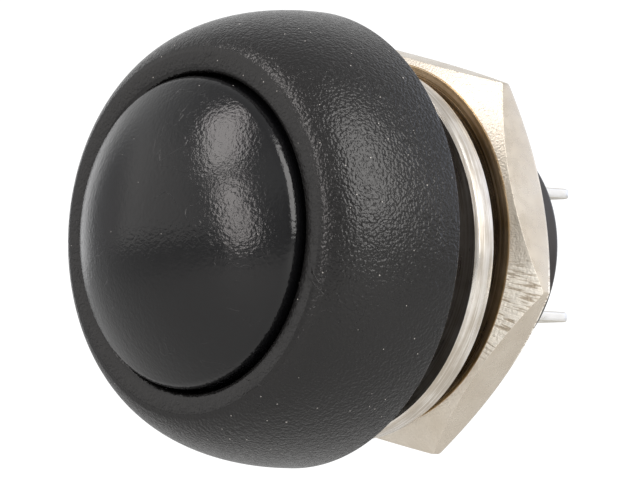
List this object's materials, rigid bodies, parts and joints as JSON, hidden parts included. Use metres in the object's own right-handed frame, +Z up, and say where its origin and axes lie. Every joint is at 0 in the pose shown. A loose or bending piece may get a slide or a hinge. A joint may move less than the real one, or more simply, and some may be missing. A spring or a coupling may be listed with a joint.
{
  "type": "industrial push button",
  "caption": "Round panel push button with a domed momentary cap, rounded bezel, threaded bushing, hexagon nut, washer and flat solder terminals.",
  "frame": {"origin": "on the button's axis, in the plane of the bezel's rear face, which seats on the front of the panel", "axes": "+Y along the button's axis from the dome to the terminals, so that the dome faces -Y; +Z up, with one terminal above the other"},
  "size_m": [0.018, 0.0228, 0.018],
  "materials": {
    "bezel_plastic": "fine spark-eroded texture",
    "cap_plastic": "gloss with slight orange peel",
    "nickel_plate": "nickel plated brass, turned",
    "seal_rubber": "nitrile rubber",
    "natural_acetal": "natural moulded",
    "spring_steel": "drawn stainless wire and strip",
    "contact_brass": "stamped",
    "contact_silver": "silver alloy",
    "tinned_brass": "tin plated, satin",
    "base_plastic": "moulded",
    "potting_epoxy": "self-levelled epoxy"
  },
  "bodies": {
    "housing": {"bezel_shell": "bezel_plastic", "threaded_bushing": "base_plastic", "panel_seal": "seal_rubber", "plunger_guide": "natural_acetal", "plunger_seal": "seal_rubber", "spring_seat": "spring_steel", "return_spring": "spring_steel", "fixed_contact_upper": "contact_silver", "fixed_contact_lower": "contact_silver", "terminal_upper": "tinned_brass", "terminal_lower": "tinned_brass", "contact_base": "base_plastic", "base_seal": "seal_rubber", "potting": "potting_epoxy"},
    "button": {"button_cap": "cap_plastic", "plunger": "natural_acetal", "retaining_clip": "spring_steel", "contact_spring": "spring_steel"},
    "bridge": {"contact_bridge": "contact_brass", "moving_contacts": "contact_silver"},
    "washer": {"panel_washer": "nickel_plate"},
    "nut": {"hex_nut": "nickel_plate"}
  },
  "joints": [
    {"name": "button_press", "type": "slide", "parent": "housing", "child": "button", "axis": [0, 1, 0], "range_m": [0, 0.0016], "stiffness_N_per_m": 900, "springref_m": -0.0018, "deforming": ["return_spring"]},
    {"name": "bridge_overtravel", "type": "slide", "parent": "button", "child": "bridge", "axis": [0, -1, 0], "range_m": [0, 0.0007], "deforming": ["contact_spring"]},
    {"name": "nut_travel", "type": "slide", "parent": "housing", "child": "washer", "axis": [0, 1, 0], "range_m": [-0.00187, 0.00112]},
    {"name": "nut_spin", "type": "hinge", "parent": "washer", "child": "nut", "pos_m": [0, 0.0054, 0], "axis": [0, 1, 0], "range_deg": [-900, 540]}
  ],
  "couplings": [
    {"joint": "bridge_overtravel", "follows": "button_press", "ratio": 0.425},
    {"joint": "nut_spin", "follows": "nut_travel", "rad_per_m": 8377.6}
  ]
}
